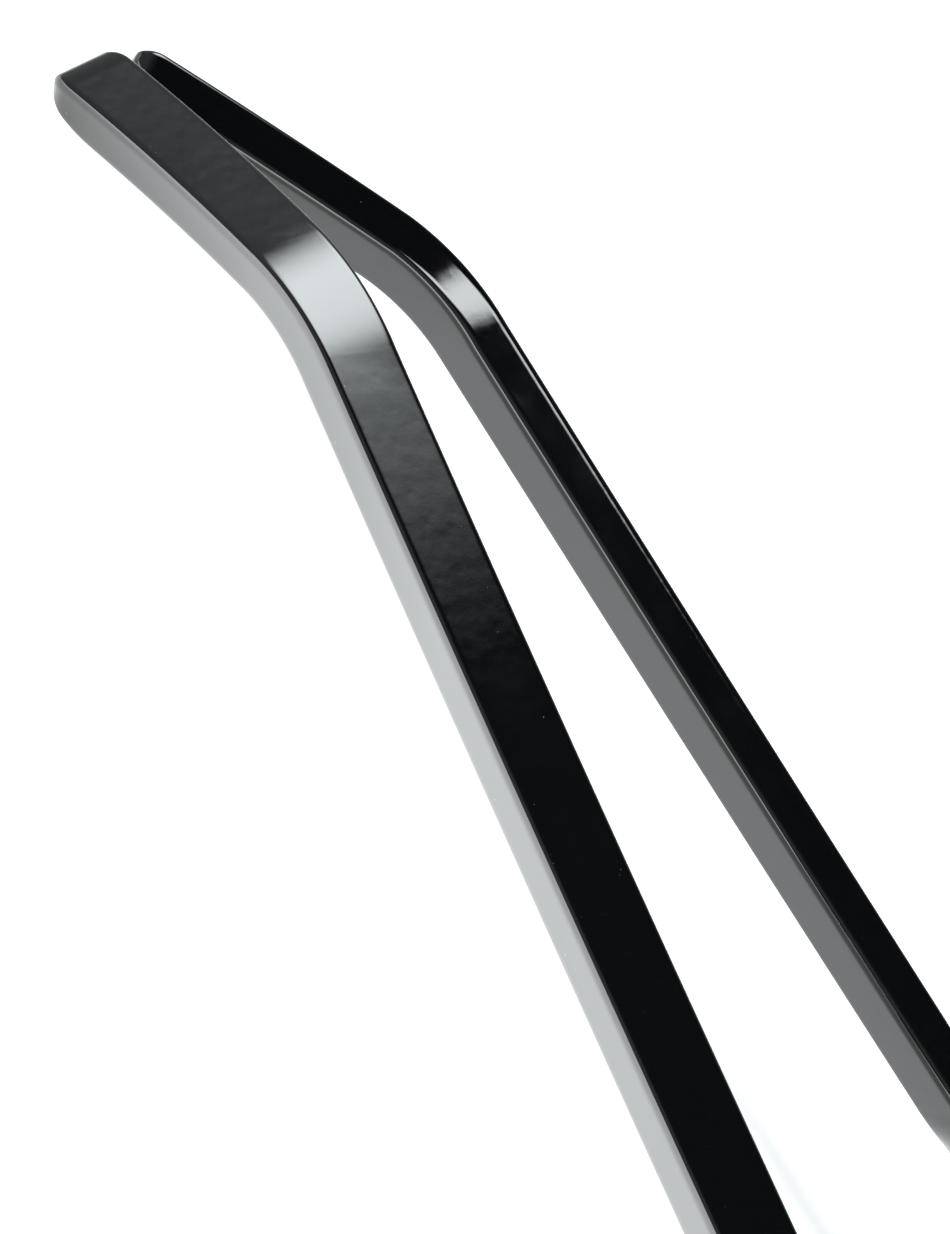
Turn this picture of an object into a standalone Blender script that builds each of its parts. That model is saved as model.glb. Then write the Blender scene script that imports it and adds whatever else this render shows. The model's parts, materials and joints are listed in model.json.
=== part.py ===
"""Eyeglasses with a thick glossy acetate front and two folding temples.

Lengths in this file are millimetres and are turned into metres where a mesh is made. +Z is up, the
front faces -Y, the wearer's right side is -X and the wearer's left side is +X. Each temple turns on a
vertical screw behind its end piece.
"""
import math

import bmesh
import bpy
from mathutils import Matrix, Vector

for old in list(bpy.data.objects):
    bpy.data.objects.remove(old, do_unlink=True)

MM = 0.001
GAP = 0.3                 # clearance between pieces that touch

# Temples
TEMPLE_WIDTH = 8.2        # wide faces
TEMPLE_HEIGHT = 4.7       # narrow faces
TEMPLE_ROLL = 38.4        # the section leans outwards by this much behind the hinge
TEMPLE_ROUND = 0.75       # radius of the long edges
TEMPLE_BOW = 1.34         # the straight part bows outwards by this angle
STRAIGHT = 117.0          # from the hinge axis to the start of the ear bend
BEND_RADIUS = 35.5
BEND_ANGLE = 22.6
BEND_OUTWARD = 6.2        # across the wide faces
BEND_TWIST = 8.3
TIP_LENGTH = 30.0
TIP_OUTWARD = 8.3
TIP_CURVE = -1.9
TIP_ROUND = 7.4           # length of the rounded lower corner of the tip
ROOT_WIDTH, ROOT_HEIGHT, ROOT_LENGTH = 8.0, 7.5, 14.8    # upright section that the hinge lies on
BLEND_LENGTH = 9.5        # over which the section leans outwards
OPEN_STOP = 3.0           # angle of a fully open temple, inwards from straight back
RIGHT_OPEN = 17.5         # where the temples stand, same measure
LEFT_OPEN = 17.4

# Hinges, measured from the hinge axis
HINGE_X = 52.6
BARREL = 1.6
PIN_HOLE = 0.9
PIN = 0.6
LEAF_IN, LEAF_OUT = 0.6, 1.6
KNUCKLE = 0.9
HINGE_DROP = 3.75         # middle of the hinge below the top of the temple
SEAT = LEAF_OUT + GAP     # face that a leaf lies on

# Front
RIM_DEPTH = 5.5
BUTT_Y = 13.0             # back face of the end pieces
HINGE_Y = BUTT_Y + SEAT
SIDE_X = HINGE_X + SEAT + ROOT_WIDTH


# ---------------------------------------------------------------- mesh helpers
def solid(name, verts, faces):
    mesh = bpy.data.meshes.new(name)
    mesh.from_pydata([(Vector(v) - MIDDLE) * MM for v in verts], [], faces)
    shell = bmesh.new()
    shell.from_mesh(mesh)
    bmesh.ops.recalc_face_normals(shell, faces=shell.faces[:])
    shell.to_mesh(mesh)
    shell.free()
    ob = bpy.data.objects.new(name, mesh)
    bpy.context.collection.objects.link(ob)
    return ob


def loft(name, rings):
    """Closed skin through rings that have the same number of points."""
    n, last = len(rings[0]), (len(rings) - 1) * len(rings[0])
    faces = [(a + j, a + (j + 1) % n, a + n + (j + 1) % n, a + n + j)
             for a in range(0, last, n) for j in range(n)]
    faces += [tuple(range(n))[::-1], tuple(range(last, last + n))]
    return solid(name, [tuple(p) for ring in rings for p in ring], faces)


def block(name, low, high, bevel=0.0):
    x0, y0, z0 = low
    x1, y1, z1 = high
    ob = loft(name, [[(x0, y0, z), (x1, y0, z), (x1, y1, z), (x0, y1, z)] for z in (z0, z1)])
    if bevel:
        shell = bmesh.new()
        shell.from_mesh(ob.data)
        bmesh.ops.bevel(shell, geom=shell.edges[:], offset=bevel * MM, segments=2, profile=0.5,
                        affect="EDGES")
        shell.to_mesh(ob.data)
        shell.free()
    return ob


def boolean(body, tool, operation):
    mod = body.modifiers.new("bool", "BOOLEAN")
    mod.object, mod.operation, mod.solver = tool, operation, "EXACT"
    graph = bpy.context.evaluated_depsgraph_get()
    mesh = bpy.data.meshes.new_from_object(body.evaluated_get(graph))
    body.modifiers.clear()
    body.data = mesh
    bpy.data.objects.remove(tool, do_unlink=True)


def finish(ob, colour, roughness, metallic=0.0, alpha=1.0, origin=None, angle=32.0):
    mat = bpy.data.materials.new(ob.name)
    mat.use_nodes = True
    shader = mat.node_tree.nodes["Principled BSDF"]
    shader.inputs["Base Color"].default_value = (*colour, 1.0)
    shader.inputs["Roughness"].default_value = roughness
    shader.inputs["Metallic"].default_value = metallic
    shader.inputs["Alpha"].default_value = alpha
    ob.data.materials.clear()
    ob.data.materials.append(mat)
    for face in ob.data.polygons:
        face.material_index = 0
    ob.data.shade_smooth()
    ob.data.set_sharp_from_angle(angle=math.radians(angle))
    if origin:
        ob.location = (Vector(origin) - MIDDLE) * MM
        ob.data.transform(Matrix.Translation(-ob.location))


# ---------------------------------------------------------------- outline helpers
def rounded(corners, steps=5):
    """Closed outline through (x, z, radius) corners, with each corner turned into an arc."""
    points = []
    for i, (x, z, r) in enumerate(corners):
        p = Vector((x, z))
        a = (Vector(corners[i - 1][:2]) - p).normalized()
        b = (Vector(corners[(i + 1) % len(corners)][:2]) - p).normalized()
        half = a.angle(b) / 2
        if r == 0 or abs(half - math.pi / 2) < 0.01:
            points.append(p)
            continue
        centre = p + (a + b).normalized() * (r / math.sin(half))
        start = p + a * (r / math.tan(half)) - centre
        end = p + b * (r / math.tan(half)) - centre
        turn = start.angle_signed(end)
        for k in range(steps + 1):
            points.append(centre + Matrix.Rotation(-turn * k / steps, 2) @ start)
    return points


def grown(points, offset):
    """The outline moved outwards by offset; the outline runs clockwise."""
    moved = []
    for i, p in enumerate(points):
        edge = (points[(i + 1) % len(points)] - points[i - 1]).normalized()
        moved.append(p + Vector((-edge.y, edge.x)) * offset)
    return moved


def slab(name, outline, profile):
    """Skin through the outline at each (y, offset) of the profile."""
    return loft(name, [[(p.x, y, p.y) for p in grown(outline, offset)] for y, offset in profile])


def mirrored(outline):
    return [Vector((-p.x, p.y)) for p in reversed(outline)]


# ---------------------------------------------------------------- temples
def section(width, height, radius, inset=0.0):
    """Rounded rectangle, (across, up) from its middle."""
    ring = []
    w, h, r = width / 2 - inset, height / 2 - inset, max(radius - inset * 0.5, 0.25)
    for cx, cz, first in ((w - r, h - r, 0), (-w + r, h - r, 90),
                          (-w + r, -h + r, 180), (w - r, -h + r, 270)):
        for k in range(3):
            a = math.radians(first + 45 * k)
            ring.append((cx + r * math.cos(a), cz + r * math.sin(a)))
    return ring


def turned(frame, down=0.0, inward=0.0, lean=0.0):
    for angle, axis in ((-down, "X"), (inward, "Z"), (lean, "Y")):
        frame = frame @ Matrix.Rotation(math.radians(angle), 3, axis)
    return frame


def ring_at(frame, middle, outline):
    return [middle + frame @ Vector((across, 0.0, up)) for across, up in outline]


def temple_rings():
    """Rings of a left temple as (out, back, up) from the hinge axis and the top of its root."""
    base = turned(Matrix.Identity(3), lean=TEMPLE_ROLL)
    half = Vector((0.0, 0.0, -TEMPLE_HEIGHT / 2))
    bow = math.radians(TEMPLE_BOW)

    def straight(back):
        s = back - STRAIGHT
        frame = turned(base, inward=math.degrees(bow * s / 100))
        return frame, base @ Vector((-bow * s * s / 200, s, 0.0)) + frame @ half

    root = Vector((SEAT + ROOT_WIDTH / 2, ROOT_LENGTH, -ROOT_HEIGHT / 2))
    shift = root - straight(ROOT_LENGTH + BLEND_LENGTH / 2)[1]
    shift.y = STRAIGHT
    rings = []
    for back in (-SEAT + GAP, -SEAT + GAP + 0.5, 4.0, 9.5, ROOT_LENGTH):
        inset = 0.5 if not rings else 0.0
        ring = ring_at(Matrix.Identity(3), Vector((root.x, back, root.z)),
                       section(ROOT_WIDTH, ROOT_HEIGHT, TEMPLE_ROUND, inset))
        if back < 0:
            for p in ring:
                p.y -= math.tan(math.radians(OPEN_STOP)) * p.x
        rings.append(ring)
    for k in range(1, 7):
        t = k / 6
        ease = t * t * (3 - 2 * t)
        back = ROOT_LENGTH + BLEND_LENGTH * t
        frame, middle = straight(back)
        middle = Vector((root.x, back, root.z)).lerp(middle + shift, ease)
        frame = turned(frame, lean=-TEMPLE_ROLL * (1 - ease))
        rings.append(ring_at(frame, middle, section(ROOT_WIDTH + (TEMPLE_WIDTH - ROOT_WIDTH) * ease,
                                                    ROOT_HEIGHT + (TEMPLE_HEIGHT - ROOT_HEIGHT) * ease,
                                                    TEMPLE_ROUND)))
    first = ROOT_LENGTH + BLEND_LENGTH
    for k in range(1, 7):
        frame, middle = straight(first + (STRAIGHT - first) * k / 6)
        rings.append(ring_at(frame, middle + shift, section(TEMPLE_WIDTH, TEMPLE_HEIGHT, TEMPLE_ROUND)))
    arc = BEND_RADIUS * math.radians(BEND_ANGLE)
    steps = [(arc / 10, BEND_ANGLE / 10, -BEND_OUTWARD / 10, BEND_TWIST / 10)] * 10
    body = TIP_LENGTH - TIP_ROUND
    ends = (0.0, 0.3, 0.55, 0.75, 0.88, 0.95, 1.0)
    lengths = [body / 5] * 5 + [(b - a) * TIP_ROUND for a, b in zip(ends, ends[1:])]
    steps += [(n, TIP_CURVE * n / TIP_LENGTH, -TIP_OUTWARD * n / TIP_LENGTH, 0.0) for n in lengths]
    frame, edge, left = base, shift.copy(), arc + TIP_LENGTH
    for i, (length, down, inward, lean) in enumerate(steps):
        edge = edge + turned(frame, down / 2, inward / 2) @ Vector((0.0, length, 0.0))
        frame = turned(frame, down, inward, lean)
        left -= length
        used = max(0.0, 1.0 - left / TIP_ROUND)
        height = TEMPLE_HEIGHT * (0.32 + 0.68 * math.sqrt(max(0.0, 1.0 - used ** 2.4)))
        inset = {len(steps) - 2: 0.3, len(steps) - 1: 0.85}.get(i, 0.0)
        rings.append(ring_at(frame, edge + frame @ Vector((0.0, 0.0, -height / 2)),
                             section(TEMPLE_WIDTH, height, min(TEMPLE_ROUND, height * 0.3), inset)))
    return rings


RINGS = temple_rings()
TOP = -min(p.z for ring in RINGS for p in ring)      # top of the temples above the table


BORE_END = sum(RINGS[14], Vector((0, 0, 0))) / len(RINGS[14])


def place(side, out, back, up, opened=0.0):
    """World point from (out, back, up) at a hinge; opened turns it about the hinge axis."""
    c, s = math.cos(math.radians(opened)), math.sin(math.radians(opened))
    return (side * (HINGE_X + out * c - back * s), HINGE_Y + out * s + back * c, TOP + up)


# The origin is under the middle of the whole object.
MIDDLE = Vector((0, max(place(1, *p, opened)[1] for opened in (RIGHT_OPEN, LEFT_OPEN)
                        for ring in RINGS for p in ring) / 2, 0))


def rod(name, side, start, end, profile, opened=0.0, steps=20):
    """Round body from start to end, both (out, back, up); profile is (distance, radius) pairs."""
    a, b = Vector(start), Vector(end)
    axis = (b - a).normalized()
    first = axis.orthogonal().normalized()
    second = axis.cross(first)
    rings = []
    for along, radius in profile:
        centre = a + axis * along
        rings.append([place(side, *(centre + first * radius * math.cos(2 * math.pi * k / steps)
                                    + second * radius * math.sin(2 * math.pi * k / steps)), opened)
                      for k in range(steps)])
    return loft(name, rings)


# ---------------------------------------------------------------- hinge leaves and rivets
def along_temple(u, v):
    return u, v


def along_front(u, v):
    return -v, -u


def leaf(name, side, slices, length, lay, opened):
    """A plate from v 2.0 to length at u 0.6 to 1.6, with knuckles round the axis at the slices."""
    low = -HINGE_DROP - 2.85
    plate = [(LEAF_IN, 2.0), (LEAF_OUT, 2.0), (LEAF_OUT, length - 0.6), (LEAF_OUT - 0.2, length),
             (LEAF_IN + 0.2, length), (LEAF_IN, length - 0.6)]
    body = loft(name, [[place(side, *lay(u, v), z, opened) for u, v in plate]
                       for z in (low, low + 5.7)])
    start = math.degrees(math.acos(0.65 / BARREL))
    arc = [math.radians(start + (346 - start) * k / 16) for k in range(17)]
    profile = [(1.55, 2.4), (0.65, 2.4)] + [(BARREL * math.cos(a), BARREL * math.sin(a)) for a in arc]
    for i in slices:
        z = low + i * (KNUCKLE + GAP)
        knuckle = loft("knuckle", [[place(side, *lay(u, v), h, opened) for u, v in profile]
                                   for h in (z, z + KNUCKLE)])
        boolean(body, knuckle, "UNION")
    hole = rod("hole", side, (0, 0, low - 1), (0, 0, low + 7), ((0, PIN_HOLE), (8, PIN_HOLE)), opened)
    boolean(body, hole, "DIFFERENCE")
    return body


def rivet_holes(body, side, spots, lay, opened, depth):
    for v, z in spots:
        start, end = (*lay(depth[0], v), z), (*lay(depth[1], v), z)
        long = depth[1] - depth[0]
        hole = rod("hole", side, start, end, ((0, 0.8), (long, 0.8)), opened)
        boolean(body, hole, "DIFFERENCE")


def rivet(name, side, spot, lay, opened, origin):
    v, z = spot
    pin = rod(name, side, (*lay(0.0, v), z), (*lay(1.0, v), z),
              ((0.0, 0.65), (0.15, 0.9), (0.3, 0.9), (0.3, 0.5), (4.0, 0.5), (4.2, 0.35)), opened, 16)
    finish(pin, STEEL, 0.25, 1.0, origin=origin)


TEMPLE_SPOTS = ((8.0, -HINGE_DROP), (12.0, -HINGE_DROP))
FRONT_SPOTS = ((3.75, -HINGE_DROP - 1.6), (3.75, -HINGE_DROP + 1.6))
ACETATE = (0.004, 0.004, 0.005)
STEEL = (0.72, 0.70, 0.66)

# ---------------------------------------------------------------- front
half = [(28, TOP + 15, 60), (54, TOP + 13.5, 9), (SIDE_X + 0.4, TOP + 7.5, 3), (SIDE_X + 0.4, TOP - 7, 3),
        (55.5, TOP - 11, 5), (51, 5, 9), (40, 0, 12), (19, 0, 12), (9, 10, 8), (6.5, TOP - 2, 6)]
outline = rounded([(-x, z, r) for x, z, r in reversed(half)] + [(0, TOP + 10.5, 60)]
                  + half + [(0, TOP + 1.5, 8)])
front = slab("front_frame", outline, ((0, -0.8), (0.23, -0.23), (0.8, 0), (RIM_DEPTH - 0.8, 0),
                                      (RIM_DEPTH - 0.23, -0.23), (RIM_DEPTH, -0.8)))
opening = rounded([(12.5, TOP + 8, 7), (46, TOP + 10, 8), (44.5, 6, 10), (19.5, 5, 10)], 7)
for side in (-1, 1):
    x0, x1 = sorted((side * (HINGE_X - 6.0), side * SIDE_X))
    lug = block("lug", (x0, 3.0, TOP - 8), (x1, BUTT_Y, TOP + 2), 0.6)
    boolean(front, lug, "UNION")
for side in (-1, 1):
    shape = opening if side > 0 else mirrored(opening)
    tool = slab("tool", shape, ((-0.4, 1.0), (0.6, 0), (1.55, 0), (1.55, 1.0), (3.95, 1.0),
                                (3.95, 0), (4.9, 0), (5.9, 1.0)))
    boolean(front, tool, "DIFFERENCE")
    rivet_holes(front, side, FRONT_SPOTS, along_front, 0.0, (1.0, SEAT + 2.6))
finish(front, ACETATE, 0.06)

# ---------------------------------------------------------------- pieces of each side
for side, word, opened in ((-1, "right", RIGHT_OPEN), (1, "left", LEFT_OPEN)):
    shape = opening if side > 0 else mirrored(opening)
    lens = slab("lens_" + word, shape, ((1.85, 0.3), (2.15, 0.7), (3.35, 0.7), (3.65, 0.3)))
    finish(lens, (0.02, 0.022, 0.026), 0.03, 0.0, 0.45)

    pad = []
    lean = math.radians(12.0)
    for k in range(6):
        a = math.radians(16.0 * k)
        ring = []
        for j in range(24):
            t = 2 * math.pi * j / 24
            x, z = 3.0 * math.cos(a) * math.cos(t), 6.2 * math.cos(a) * math.sin(t)
            ring.append((side * (12.2 + x * math.cos(lean) - z * math.sin(lean)),
                         RIM_DEPTH + GAP + 3.0 * math.sin(a),
                         TOP - 11.5 + x * math.sin(lean) + z * math.cos(lean)))
        pad.append(ring)
    finish(loft("nose_pad_" + word, pad), ACETATE, 0.08)

    pivot = place(side, 0, 0, -HINGE_DROP)
    temple = loft("temple_" + word, [[place(side, *p, opened) for p in ring] for ring in RINGS])
    mouth = Vector((SEAT + ROOT_WIDTH / 2, 0.0, -ROOT_HEIGHT / 2))
    along = (BORE_END - mouth).normalized()
    bore = rod("bore", side, mouth - along * 4, BORE_END, ((0, 0.9), (80, 0.9)), opened)
    boolean(temple, bore, "DIFFERENCE")
    rivet_holes(temple, side, TEMPLE_SPOTS, along_temple, opened, (1.0, SEAT + 2.6))
    finish(temple, ACETATE, 0.06, origin=pivot)
    wire = rod("core_wire_" + word, side, mouth, BORE_END,
               ((0, 0.4), (0.2, 0.6), (75.3, 0.6), (75.5, 0.4)), opened, 16)
    finish(wire, STEEL, 0.35, 1.0, origin=pivot)

    front_leaf = leaf("front_hinge_" + word, side, (1, 3), 5.5, along_front, 0.0)
    rivet_holes(front_leaf, side, FRONT_SPOTS, along_front, 0.0, (0.0, 2.4))
    finish(front_leaf, STEEL, 0.3, 1.0)
    temple_leaf = leaf("temple_hinge_" + word, side, (0, 2, 4), 14.0, along_temple, opened)
    rivet_holes(temple_leaf, side, TEMPLE_SPOTS, along_temple, opened, (0.0, 2.4))
    finish(temple_leaf, STEEL, 0.3, 1.0, origin=pivot)

    screw = rod("hinge_screw_" + word, side, (0, 0, 0), (0, 0, -8),
                ((0.0, 0.9), (0.2, 1.2), (0.6, 1.2), (0.6, PIN), (6.7, PIN), (6.9, 0.4)))
    finish(screw, STEEL, 0.25, 1.0)
    for spot, level in zip(FRONT_SPOTS, ("_lower", "_upper")):
        rivet("front_rivet_" + word + level, side, spot, along_front, 0.0, None)
    for spot, order in zip(TEMPLE_SPOTS, ("_near", "_far")):
        rivet("temple_rivet_" + word + order, side, spot, along_temple, opened, pivot)
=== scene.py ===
"""Looks for the black acetate eyeglasses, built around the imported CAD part.

The temples are rebuilt finer than their CAD solids, in the same place and size. The front, the lenses,
the pads and the metal keep their CAD shape and get their materials here.
"""
import json
import math

import bpy
from mathutils import Matrix, Vector


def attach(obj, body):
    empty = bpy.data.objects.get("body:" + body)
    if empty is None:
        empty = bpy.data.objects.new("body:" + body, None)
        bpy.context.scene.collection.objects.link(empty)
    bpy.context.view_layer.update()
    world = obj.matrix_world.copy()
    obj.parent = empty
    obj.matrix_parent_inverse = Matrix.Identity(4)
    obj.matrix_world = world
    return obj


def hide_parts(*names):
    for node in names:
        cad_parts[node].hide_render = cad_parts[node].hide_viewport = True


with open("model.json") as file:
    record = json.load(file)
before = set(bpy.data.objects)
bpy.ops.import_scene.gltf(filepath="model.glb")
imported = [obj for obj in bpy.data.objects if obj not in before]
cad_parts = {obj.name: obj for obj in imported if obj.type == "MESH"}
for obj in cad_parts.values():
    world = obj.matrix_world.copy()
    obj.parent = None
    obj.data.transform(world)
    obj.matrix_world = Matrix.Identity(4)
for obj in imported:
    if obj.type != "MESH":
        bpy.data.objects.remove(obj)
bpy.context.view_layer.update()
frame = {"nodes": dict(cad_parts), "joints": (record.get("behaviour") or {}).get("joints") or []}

MM = 0.001

# Temples, in millimetres and degrees, as the CAD part has them
TEMPLE_WIDTH, TEMPLE_HEIGHT, TEMPLE_ROUND = 8.2, 4.7, 0.75
TEMPLE_ROLL, TEMPLE_BOW, STRAIGHT = 38.4, 1.34, 117.0
BEND_RADIUS, BEND_ANGLE, BEND_OUTWARD, BEND_TWIST = 35.5, 22.6, 6.2, 8.3
TIP_LENGTH, TIP_OUTWARD, TIP_CURVE, TIP_ROUND = 30.0, 8.3, -1.9, 7.4
ROOT_WIDTH, ROOT_HEIGHT, ROOT_LENGTH, BLEND_LENGTH = 8.0, 7.5, 14.8, 9.5
OPEN_STOP, RIGHT_OPEN, LEFT_OPEN = 3.0, 17.5, 17.4
SEAT, GAP = 1.9, 0.3
HINGE_DROP = 3.75
TIP_THIN = 0.32           # height left at the end of the tip, as a share
CORNER_STEPS = 6
BLEND_RINGS, STRAIGHT_RINGS, BEND_RINGS, TIP_RINGS, END_RINGS = 18, 18, 30, 15, 24
END_ROUND, END_DROP, END_TAPER = 2.4, 1.05, 1.3      # rounding of the tip's very end

# Light: strengths of the floor, with a painted pool of light glowing on its -X side, the ceiling and the
# room, and the bright patches of the room as azimuth from +Y, elevation, angle of the even middle, angle
# of the edge, and strength
FLOOR_GLOW, POOL_GLOW, POOL_EDGE = 0.7, 7.5, (-0.034, -0.002)
CEILING_GLOW, ROOM_GLOW = 0.03, 0.5
GLOWS = ((15.0, 52.0, 0.0, 20.5, 14.0), (-136.0, 66.3, 0.5, 5.2, 16.0))

# Camera, in millimetres
CAMERA_LENS = 173.7
CAMERA_PLACE = (-535.7, 9.8, 143.9)
CAMERA_AIM = (-2.9, 20.9, 10.5)
CAMERA_UP = (0.097, 0.881, 0.462)


# ---------------------------------------------------------------- temple shape
def section(width, height, radius, inset=0.0):
    """Rounded rectangle, (across, up) from its middle.

    A narrow strip beside each arc keeps the shading of the faces flat.
    """
    ring = []
    w, h, r = width / 2 - inset, height / 2 - inset, min(max(radius - inset * 0.5, 0.25), height * 0.4)
    strip = 0.2 * (min(w, h) - r)
    for cx, cz, first in ((w - r, h - r, 0), (-w + r, h - r, 90),
                          (-w + r, -h + r, 180), (w - r, -h + r, 270)):
        for k in range(-1, CORNER_STEPS + 2):
            a = math.radians(first + 90 * min(max(k, 0), CORNER_STEPS) / CORNER_STEPS)
            past = strip * (max(k - CORNER_STEPS, 0) - max(-k, 0))
            ring.append((cx + r * math.cos(a) - past * math.sin(a),
                         cz + r * math.sin(a) + past * math.cos(a)))
    return ring


def turned(pose, down=0.0, inward=0.0, lean=0.0):
    for angle, axis in ((-down, "X"), (inward, "Z"), (lean, "Y")):
        pose = pose @ Matrix.Rotation(math.radians(angle), 3, axis)
    return pose


def ring_at(pose, middle, outline):
    return [middle + pose @ Vector((across, 0.0, up)) for across, up in outline]


def temple_rings():
    """Rings of a left temple as (out, back, up) from the hinge axis and the top of its root."""
    base = turned(Matrix.Identity(3), lean=TEMPLE_ROLL)
    half = Vector((0.0, 0.0, -TEMPLE_HEIGHT / 2))
    bow = math.radians(TEMPLE_BOW)

    def straight(back):
        s = back - STRAIGHT
        pose = turned(base, inward=math.degrees(bow * s / 100))
        return pose, base @ Vector((-bow * s * s / 200, s, 0.0)) + pose @ half

    root = Vector((SEAT + ROOT_WIDTH / 2, ROOT_LENGTH, -ROOT_HEIGHT / 2))
    shift = root - straight(ROOT_LENGTH + BLEND_LENGTH / 2)[1]
    shift.y = STRAIGHT
    rings = []
    for back, inset in ((-SEAT + GAP, 0.5), (-SEAT + GAP + 0.15, 0.15), (-SEAT + GAP + 0.5, 0.0),
                        (4.0, 0.0), (9.5, 0.0), (ROOT_LENGTH, 0.0)):
        ring = ring_at(Matrix.Identity(3), Vector((root.x, back, root.z)),
                       section(ROOT_WIDTH, ROOT_HEIGHT, TEMPLE_ROUND, inset))
        if back < 0:
            for p in ring:
                p.y -= math.tan(math.radians(OPEN_STOP)) * p.x
        rings.append(ring)
    for k in range(1, BLEND_RINGS + 1):
        t = k / BLEND_RINGS
        ease = t * t * (3 - 2 * t)
        back = ROOT_LENGTH + BLEND_LENGTH * t
        pose, middle = straight(back)
        middle = Vector((root.x, back, root.z)).lerp(middle + shift, ease)
        pose = turned(pose, lean=-TEMPLE_ROLL * (1 - ease))
        rings.append(ring_at(pose, middle, section(ROOT_WIDTH + (TEMPLE_WIDTH - ROOT_WIDTH) * ease,
                                                   ROOT_HEIGHT + (TEMPLE_HEIGHT - ROOT_HEIGHT) * ease,
                                                   TEMPLE_ROUND)))
    first = ROOT_LENGTH + BLEND_LENGTH
    for k in range(1, STRAIGHT_RINGS + 1):
        pose, middle = straight(first + (STRAIGHT - first) * k / STRAIGHT_RINGS)
        rings.append(ring_at(pose, middle + shift, section(TEMPLE_WIDTH, TEMPLE_HEIGHT, TEMPLE_ROUND)))
    arc = BEND_RADIUS * math.radians(BEND_ANGLE)
    steps = [(arc / BEND_RINGS, BEND_ANGLE / BEND_RINGS, -BEND_OUTWARD / BEND_RINGS,
              BEND_TWIST / BEND_RINGS)] * BEND_RINGS
    body = TIP_LENGTH - TIP_ROUND
    lengths = [body / TIP_RINGS] * TIP_RINGS
    ends = [math.sin(math.pi / 2 * k / END_RINGS) for k in range(END_RINGS + 1)]
    lengths += [(b - a) * TIP_ROUND for a, b in zip(ends, ends[1:])]
    steps += [(n, TIP_CURVE * n / TIP_LENGTH, -TIP_OUTWARD * n / TIP_LENGTH, 0.0) for n in lengths]
    pose, edge, left = base, shift.copy(), arc + TIP_LENGTH
    for length, down, inward, lean in steps:
        edge = edge + turned(pose, down / 2, inward / 2) @ Vector((0.0, length, 0.0))
        pose = turned(pose, down, inward, lean)
        left -= length
        used = max(0.0, 1.0 - left / TIP_ROUND)
        height = TEMPLE_HEIGHT * (TIP_THIN + (1 - TIP_THIN) * math.sqrt(max(0.0, 1.0 - used ** 2.4)))
        near_end = max(0.0, 1.0 - left / END_ROUND)
        drop = 1.0 - math.sqrt(max(0.0, 1.0 - near_end ** 2))
        height -= END_DROP * drop
        rings.append(ring_at(pose, edge + pose @ Vector((0.0, 0.0, -END_DROP * drop - height / 2)),
                             section(TEMPLE_WIDTH - 2 * END_TAPER * drop, height,
                                     min(TEMPLE_ROUND, height * 0.3))))
    return rings


def build_temple(word, side, opened):
    """A fine temple in the place of its CAD solid; the joint's own position is the hinge axis."""
    joint = JOINTS[word + "_temple_fold"]
    pivot = Vector(joint["pos_m"])
    c, s = math.cos(math.radians(opened)), math.sin(math.radians(opened))
    verts, faces = [], []
    for ring in RINGS:
        for out, back, up in ring:
            verts.append(pivot + Vector((side * (out * c - back * s), out * s + back * c,
                                         up + HINGE_DROP)) * MM)
    n = len(RINGS[0])
    for a in range(0, (len(RINGS) - 1) * n, n):
        for j in range(n):
            faces.append((a + j, a + (j + 1) % n, a + n + (j + 1) % n, a + n + j))
    faces += [tuple(range(n))[::-1], tuple(range(len(verts) - n, len(verts)))]
    if side < 0:
        faces = [face[::-1] for face in faces]
    mesh = bpy.data.meshes.new("temple_shell_" + word)
    mesh.from_pydata(verts, [], faces)
    mesh.flip_normals()
    mesh.shade_smooth()
    mesh.set_sharp_from_angle(angle=math.radians(35))
    ob = bpy.data.objects.new("temple_shell_" + word, mesh)
    bpy.context.collection.objects.link(ob)
    return ob


# ---------------------------------------------------------------- materials
def new_material(name):
    mat = bpy.data.materials.new(name)
    mat.use_nodes = True
    tree = mat.node_tree
    return mat, tree, tree.nodes["Principled BSDF"]


def noise(tree, scale, detail=4.0, roughness=0.5, stretch=None):
    """Noise in the object's own metres."""
    place = tree.nodes.new("ShaderNodeTexCoord")
    source = place.outputs["Object"]
    if stretch:
        mapping = tree.nodes.new("ShaderNodeMapping")
        mapping.inputs["Scale"].default_value = stretch
        tree.links.new(source, mapping.inputs["Vector"])
        source = mapping.outputs["Vector"]
    node = tree.nodes.new("ShaderNodeTexNoise")
    node.inputs["Scale"].default_value = scale
    node.inputs["Detail"].default_value = detail
    node.inputs["Roughness"].default_value = roughness
    tree.links.new(source, node.inputs["Vector"])
    return node.outputs["Fac"]


def cells(tree, scale):
    """Soft round cells, in the object's own metres."""
    place = tree.nodes.new("ShaderNodeTexCoord")
    node = tree.nodes.new("ShaderNodeTexVoronoi")
    node.feature = "SMOOTH_F1"
    node.inputs["Scale"].default_value = scale
    tree.links.new(place.outputs["Object"], node.inputs["Vector"])
    return node.outputs["Distance"]


def remap(tree, value, low, high, to_low, to_high, smooth=False):
    node = tree.nodes.new("ShaderNodeMapRange")
    node.interpolation_type = "SMOOTHSTEP" if smooth else "LINEAR"
    for name, number in (("From Min", low), ("From Max", high), ("To Min", to_low), ("To Max", to_high)):
        node.inputs[name].default_value = number
    tree.links.new(value, node.inputs["Value"])
    return node.outputs["Result"]


def mixed(tree, value, first, second):
    node = tree.nodes.new("ShaderNodeMix")
    node.data_type = "RGBA"
    node.inputs["A"].default_value = (*first, 1.0)
    node.inputs["B"].default_value = (*second, 1.0)
    tree.links.new(value, node.inputs["Factor"])
    return node.outputs["Result"]


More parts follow.
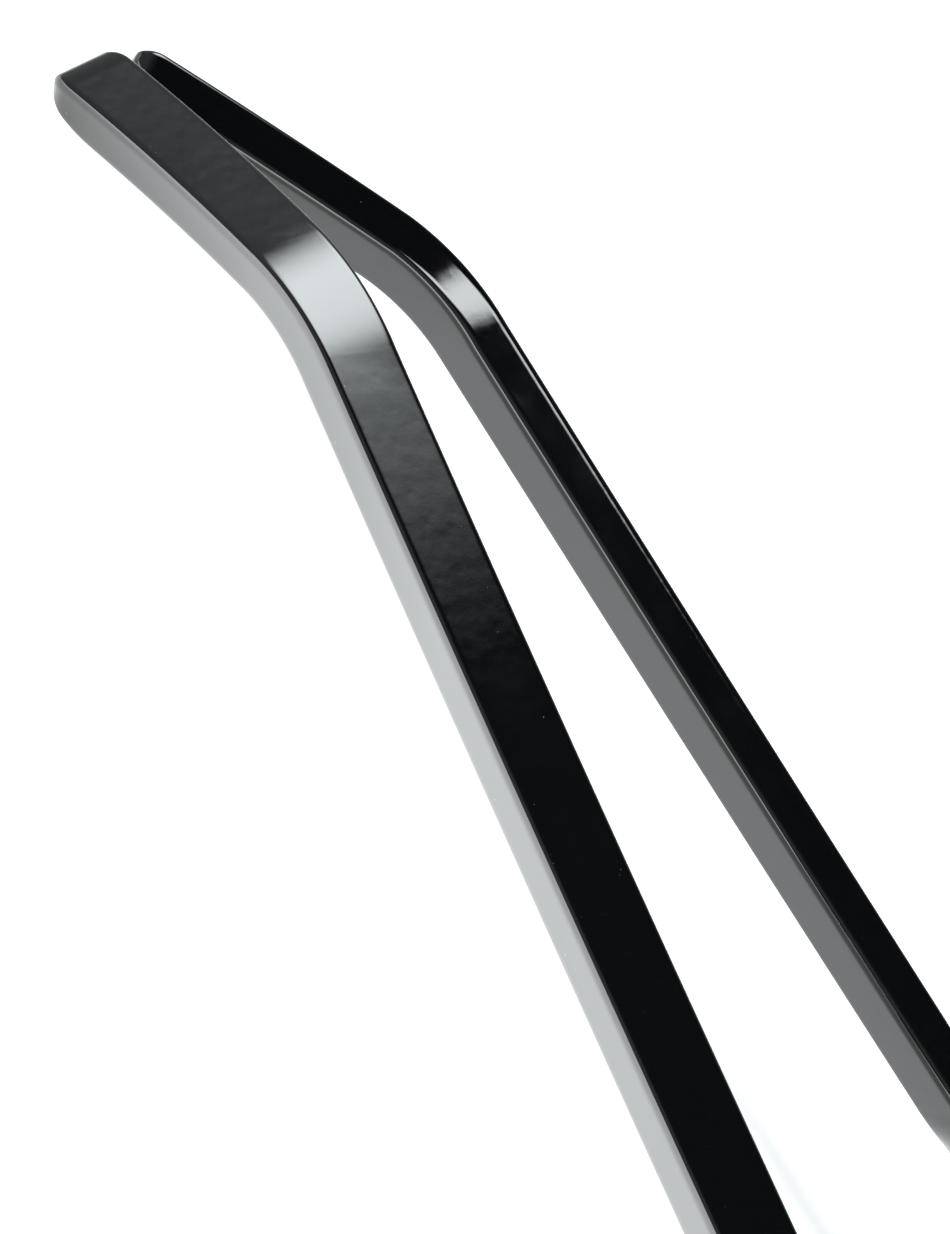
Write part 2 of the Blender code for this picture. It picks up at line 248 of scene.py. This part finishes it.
def bumped(tree, height, distance, strength=1.0, under=None):
    node = tree.nodes.new("ShaderNodeBump")
    node.inputs["Distance"].default_value = distance
    node.inputs["Strength"].default_value = strength
    tree.links.new(height, node.inputs["Height"])
    if under:
        tree.links.new(under, node.inputs["Normal"])
    return node.outputs["Normal"]


def acetate():
    """Polished black acetate: tumbled waviness, faint pores and a few specks of dust."""
    mat, tree, shader = new_material("black_acetate")
    dust = remap(tree, noise(tree, 2600.0, 1.0), 0.80, 0.84, 0.0, 1.0)
    tree.links.new(mixed(tree, dust, (0.0015, 0.0016, 0.0020), (0.10, 0.10, 0.10)),
                   shader.inputs["Base Color"])
    tree.links.new(remap(tree, noise(tree, 190.0, 6.0, 0.6), 0.35, 0.7, 0.035, 0.075),
                   shader.inputs["Roughness"])
    shader.inputs["IOR"].default_value = 1.50
    wave = bumped(tree, noise(tree, 120.0, 2.0), 0.0003, 0.035)
    orange_peel = bumped(tree, noise(tree, 620.0, 3.0, 0.6), 0.00006, 0.05, wave)
    lace = bumped(tree, cells(tree, 720.0), 0.00005, 0.07, orange_peel)
    tree.links.new(lace, shader.inputs["Normal"])
    return mat


def lens_glass():
    """Grey lens, a little darker at its top."""
    mat, tree, shader = new_material("grey_lens")
    place = tree.nodes.new("ShaderNodeTexCoord")
    split = tree.nodes.new("ShaderNodeSeparateXYZ")
    tree.links.new(place.outputs["Object"], split.inputs["Vector"])
    height = remap(tree, split.outputs["Z"], 0.004, 0.032, 0.0, 1.0)
    tree.links.new(mixed(tree, height, (0.30, 0.31, 0.33), (0.10, 0.105, 0.115)),
                   shader.inputs["Base Color"])
    tree.links.new(remap(tree, noise(tree, 300.0), 0.3, 0.7, 0.0, 0.006), shader.inputs["Roughness"])
    shader.inputs["Transmission Weight"].default_value = 1.0
    shader.inputs["IOR"].default_value = 1.5
    return mat


def steel(name, colour, rough, stretch):
    """Brushed metal, grained along one direction."""
    mat, tree, shader = new_material(name)
    grain = noise(tree, 900.0, 3.0, 0.6, stretch)
    tree.links.new(mixed(tree, grain, tuple(c * 0.82 for c in colour), colour),
                   shader.inputs["Base Color"])
    tree.links.new(remap(tree, grain, 0.3, 0.7, rough * 0.7, rough * 1.3), shader.inputs["Roughness"])
    shader.inputs["Metallic"].default_value = 1.0
    tree.links.new(bumped(tree, grain, 0.00002, 0.3), shader.inputs["Normal"])
    return mat


def dress(node, mat):
    """Give a CAD node its material."""
    ob = frame["nodes"][node]
    for slot in ob.material_slots:
        slot.material = mat


# ---------------------------------------------------------------- pieces
JOINTS = {joint["name"]: joint for joint in frame["joints"]}
RINGS = temple_rings()
ACETATE = acetate()
LENS = lens_glass()
HINGE_STEEL = steel("hinge_steel", (0.66, 0.65, 0.62), 0.28, (1.0, 6.0, 1.0))
PIN_STEEL = steel("pin_steel", (0.74, 0.73, 0.70), 0.20, (3.0, 3.0, 1.0))

for side, word, opened in ((-1, "right", RIGHT_OPEN), (1, "left", LEFT_OPEN)):
    shell = build_temple(word, side, opened)
    shell.data.materials.append(ACETATE)
    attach(shell, "temple_" + word)
    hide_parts("temple_" + word)

for name in frame["nodes"]:
    if name.startswith("lens"):
        dress(name, LENS)
    elif "rivet" in name or "screw" in name:
        dress(name, PIN_STEEL)
    elif "hinge" in name or "wire" in name:
        dress(name, HINGE_STEEL)
    else:
        dress(name, ACETATE)


# ---------------------------------------------------------------- floor, light and camera
def stage_floor():
    mesh = bpy.data.meshes.new("floor")
    reach = 3.0
    mesh.from_pydata([(-reach, -reach, 0), (reach, -reach, 0), (reach, reach, 0), (-reach, reach, 0)],
                     [], [(0, 1, 2, 3)])
    floor = bpy.data.objects.new("floor", mesh)
    bpy.context.collection.objects.link(floor)
    mat, tree, shader = new_material("white_floor_painted_light_pool")
    shader.inputs["Base Color"].default_value = (0.6, 0.6, 0.6, 1.0)
    shader.inputs["Roughness"].default_value = 0.8
    shader.inputs["Emission Color"].default_value = (0.97, 1.0, 1.0, 1.0)
    place = tree.nodes.new("ShaderNodeTexCoord")
    split = tree.nodes.new("ShaderNodeSeparateXYZ")
    tree.links.new(place.outputs["Object"], split.inputs["Vector"])
    # Painted pool of light: the floor glows at POOL_GLOW where X is below -34 mm, fading to FLOOR_GLOW
    # by -2 mm
    tree.links.new(remap(tree, split.outputs["X"], *POOL_EDGE, POOL_GLOW, FLOOR_GLOW),
                   shader.inputs["Emission Strength"])
    mesh.materials.append(mat)


def studio_world():
    """A dim ceiling over a pale room, with a window behind the temples and a small lamp."""
    world = bpy.data.worlds.new("studio")
    world.use_nodes = True
    tree = world.node_tree
    back = tree.nodes["Background"]
    place = tree.nodes.new("ShaderNodeTexCoord")
    split = tree.nodes.new("ShaderNodeSeparateXYZ")
    tree.links.new(place.outputs["Generated"], split.inputs["Vector"])
    total = remap(tree, split.outputs["Z"], 0.54, 0.86, ROOM_GLOW, CEILING_GLOW, smooth=True)
    for azimuth, elevation, core, edge, strength in GLOWS:
        a, e = math.radians(azimuth), math.radians(elevation)
        dot = tree.nodes.new("ShaderNodeVectorMath")
        dot.operation = "DOT_PRODUCT"
        dot.inputs[1].default_value = (math.sin(a) * math.cos(e), math.cos(a) * math.cos(e), math.sin(e))
        tree.links.new(place.outputs["Generated"], dot.inputs[0])
        patch = remap(tree, dot.outputs["Value"], math.cos(math.radians(edge)),
                      math.cos(math.radians(core)), 0.0, strength, smooth=True)
        plus = tree.nodes.new("ShaderNodeMath")
        plus.operation = "ADD"
        tree.links.new(total, plus.inputs[0])
        tree.links.new(patch, plus.inputs[1])
        total = plus.outputs["Value"]
    back.inputs["Color"].default_value = (0.93, 0.99, 1.0, 1.0)
    tree.links.new(total, back.inputs["Strength"])
    bpy.context.scene.world = world


def softbox(name, place, aim, width, height, power):
    data = bpy.data.lights.new(name, "AREA")
    data.shape, data.size, data.size_y, data.energy = "RECTANGLE", width, height, power
    lamp = bpy.data.objects.new(name, data)
    lamp.location = place
    lamp.rotation_euler = (Vector(aim) - Vector(place)).to_track_quat("-Z", "Y").to_euler()
    bpy.context.collection.objects.link(lamp)


def add_camera():
    """Long lens, well to the wearer's right of the temples and a little above them."""
    data = bpy.data.cameras.new("camera")
    data.sensor_width, data.lens = 36.0, CAMERA_LENS
    data.clip_start, data.clip_end = 0.01, 20.0
    camera = bpy.data.objects.new("camera", data)
    place = Vector(CAMERA_PLACE) * MM
    ahead = (Vector(CAMERA_AIM) * MM - place).normalized()
    right = ahead.cross(Vector(CAMERA_UP)).normalized()
    up = right.cross(ahead)
    camera.matrix_world = Matrix((
        (right.x, up.x, -ahead.x, place.x),
        (right.y, up.y, -ahead.y, place.y),
        (right.z, up.z, -ahead.z, place.z),
        (0.0, 0.0, 0.0, 1.0)))
    bpy.context.collection.objects.link(camera)
    bpy.context.scene.camera = camera



stage_floor()
studio_world()
softbox("front_light", (0.10, -0.75, 0.45), (0.0, -0.05, 0.02), 0.5, 0.3, 6.0)
add_camera()
bpy.context.scene.view_settings.view_transform = "Standard"
